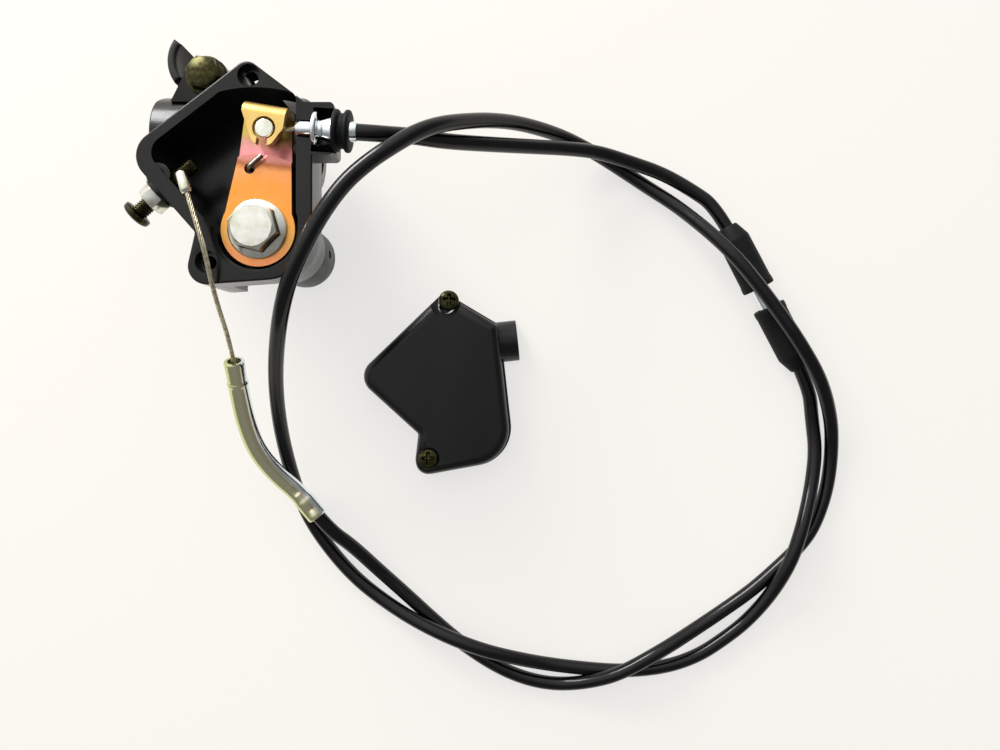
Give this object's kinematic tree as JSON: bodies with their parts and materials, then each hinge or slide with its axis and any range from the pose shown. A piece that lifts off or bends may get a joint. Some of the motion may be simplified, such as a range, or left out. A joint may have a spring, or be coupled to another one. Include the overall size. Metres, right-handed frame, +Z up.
{
  "type": "thumb throttle lever",
  "caption": "Open thumb throttle for a small quad: handlebar clamp, sprung throttle arm with thumb lever, stop screw, coiled cable with elbow, and the removed cover.",
  "frame": {"origin": "middle of the rigid pieces' footprint, on the table they lie on", "axes": "+X along the handlebar towards the cable outlet, +Y towards the rider, +Z up to the open side of the housing"},
  "size_m": [0.2418, 0.234, 0.0718],
  "materials": {
    "black_enamel": "die-cast aluminium with glossy black enamel",
    "lever_enamel": "die-cast aluminium with satin black enamel",
    "bright_zinc": "bright zinc-plated steel",
    "dark_zinc": "olive zinc-plated steel",
    "dull_zinc": "dull zinc-plated steel tube",
    "yellow_zinc": "yellow zinc-plated sheet steel with rainbow tints",
    "spring_steel": "oiled black spring wire",
    "wire_steel": "stranded galvanised wire",
    "bush_plastic": "black acetal",
    "black_rubber": "matte black rubber",
    "sheath_vinyl": "glossy black vinyl",
    "cover_abs": "satin black moulded plastic"
  },
  "bodies": {
    "housing": {"housing": "black_enamel", "clamp_bolt": "dark_zinc", "shaft_bush": "bush_plastic", "return_spring": "spring_steel", "limiter_nut": "bright_zinc", "cable_ferrule": "bright_zinc", "cable_grommet": "black_rubber", "arm_wire": "wire_steel", "upper_sheath": "sheath_vinyl", "first_boot": "black_rubber", "adjuster_barrel": "bright_zinc", "adjuster_screw": "bright_zinc", "second_boot": "black_rubber", "long_sheath": "sheath_vinyl", "cable_elbow": "dull_zinc", "elbow_wire": "wire_steel", "wire_nipple": "bright_zinc", "cover": "cover_abs", "upper_cover_screw": "dark_zinc", "lower_cover_screw": "dark_zinc"},
    "lever": {"thumb_lever": "lever_enamel", "lever_shaft": "bright_zinc", "lever_pin": "bright_zinc", "throttle_arm": "yellow_zinc", "arm_bolt": "bright_zinc", "arm_barrel": "bright_zinc"},
    "limiter": {"limiter_screw": "dark_zinc"}
  },
  "joints": [
    {"name": "lever_hinge", "type": "hinge", "parent": "housing", "child": "lever", "pos_m": [-0.02035, 0.0047, 0.03], "axis": [0, 0, 1], "range_deg": [0, 24], "stiffness_Nm_per_rad": 0.3, "springref_deg": -28.65, "deforming": ["return_spring", "arm_wire"]},
    {"name": "limiter_slide", "type": "slide", "parent": "housing", "child": "limiter", "axis": [-0.7497, -0.6618, 0], "range_m": [0, 0.008]}
  ]
}
